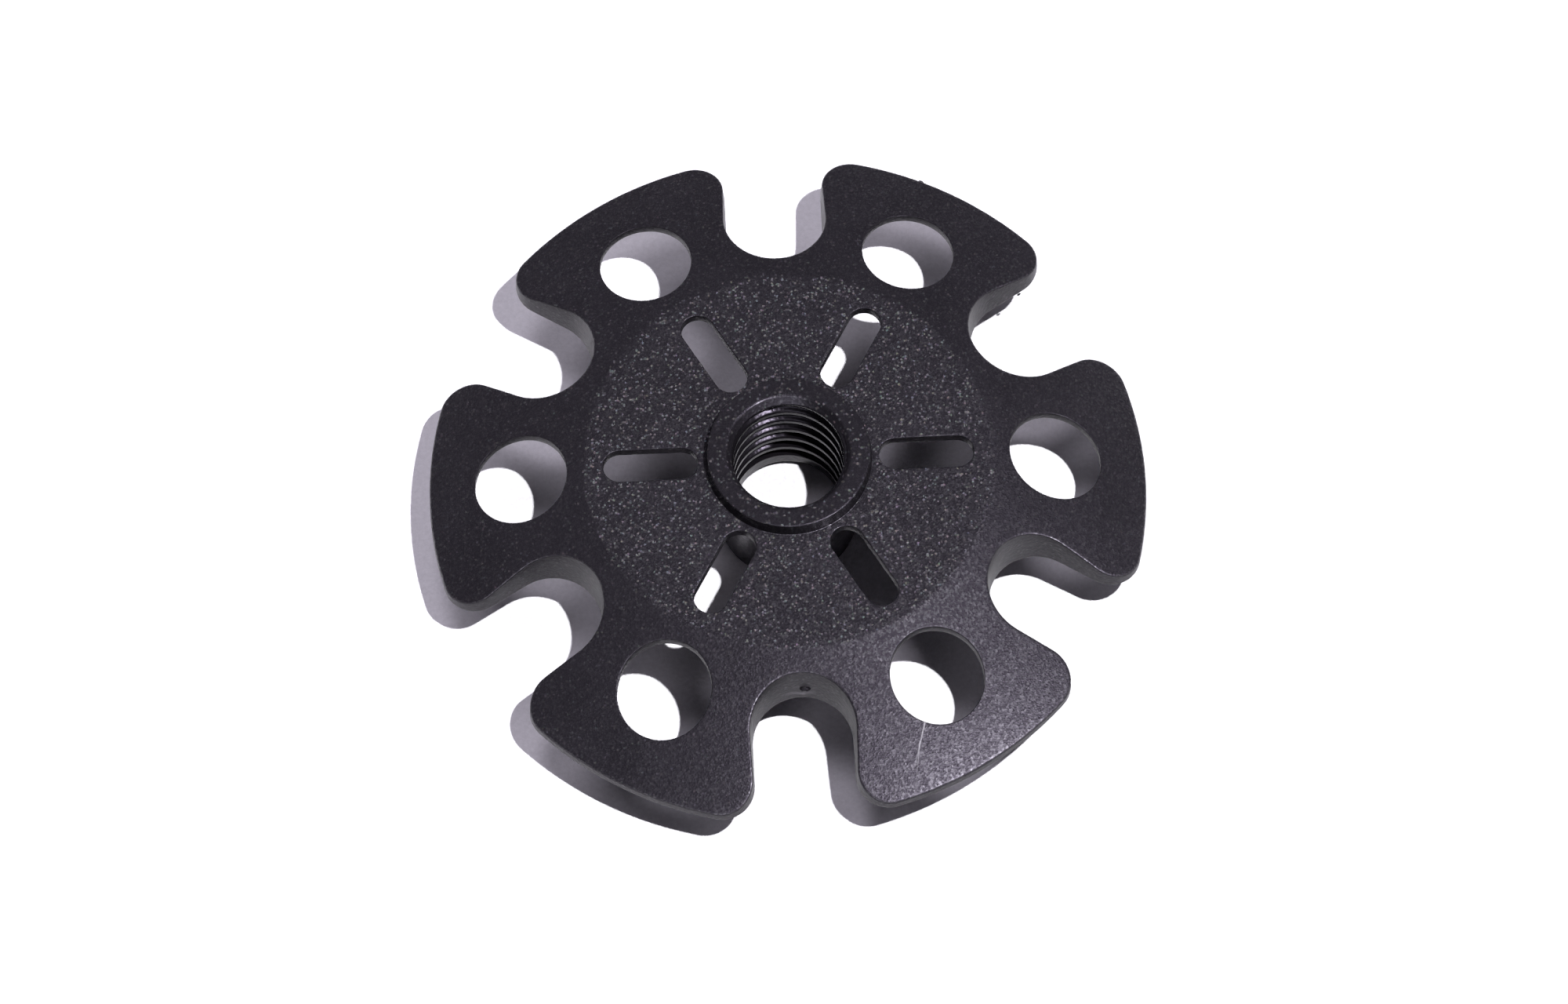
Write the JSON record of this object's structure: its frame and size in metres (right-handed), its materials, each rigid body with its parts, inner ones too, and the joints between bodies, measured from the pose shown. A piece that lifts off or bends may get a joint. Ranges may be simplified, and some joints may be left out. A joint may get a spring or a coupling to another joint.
{
  "type": "trekking pole snow basket",
  "caption": "Round lobed snow basket: a shallow domed disc with round notches, holes and radial slots around a threaded hub that screws onto the tip of a walking pole.",
  "frame": {"origin": "on the hub axis, in the plane of the hub's lower end, which is what the part stands on", "axes": "+Z along the hub axis from the hub's lower end to the ring on the disc; +X through the middle of a lobe, so +Y runs through the middle of a notch"},
  "size_m": [0.09, 0.0874, 0.0192],
  "materials": {
    "black_plastic": "fine spark-eroded grain on the upper faces, smoother walls, glossy thread"
  },
  "bodies": {
    "root": {"snow_basket": "black_plastic"}
  },
  "joints": []
}
